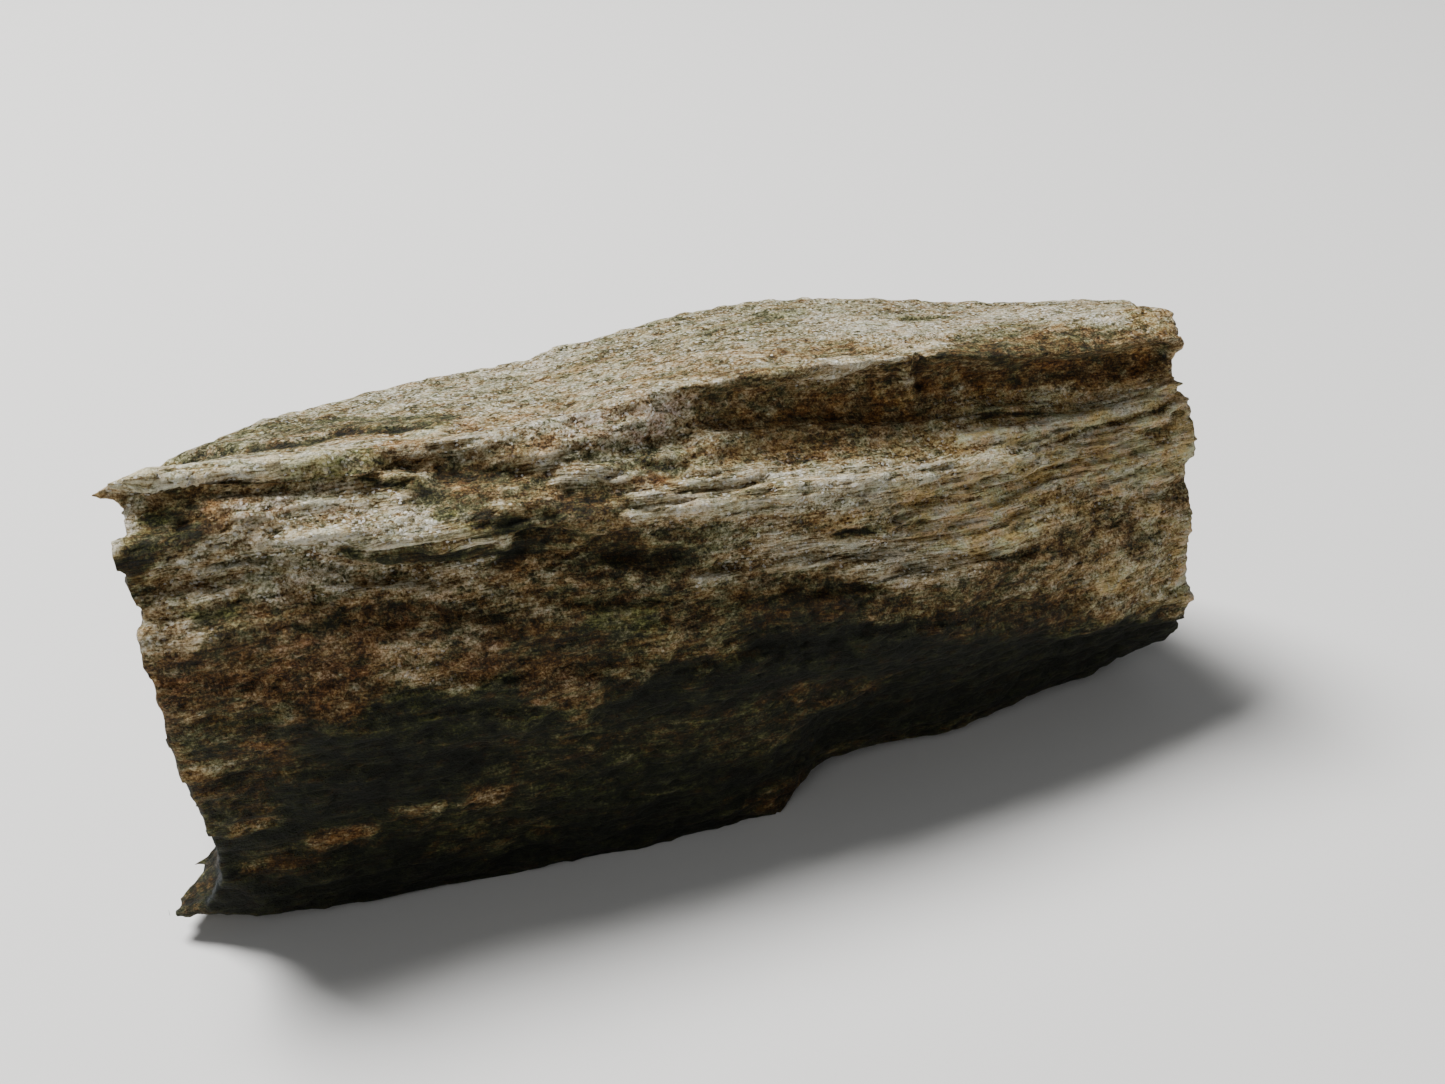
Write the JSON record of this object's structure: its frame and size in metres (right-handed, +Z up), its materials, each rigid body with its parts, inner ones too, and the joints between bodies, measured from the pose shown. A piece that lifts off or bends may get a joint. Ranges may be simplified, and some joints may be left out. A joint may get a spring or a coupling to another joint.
{
  "type": "isua stone specimen",
  "caption": "Natural splinter of layered rock, split along its sheets and broken across at both ends, lying on a flat patch of its underside.",
  "frame": {"origin": "centre of the bounding box in plan, at the surface the stone lies on", "axes": "+X along the length and the grain, from the splintered end to the blunt end; +Z up, across the sheets; +Y from the stepped front face to the back"},
  "size_m": [0.0478, 0.0166, 0.0203],
  "materials": {
    "rock": "rough, with fine mica sparkle on the split faces"
  },
  "bodies": {
    "root": {"stone": "rock"}
  },
  "joints": []
}
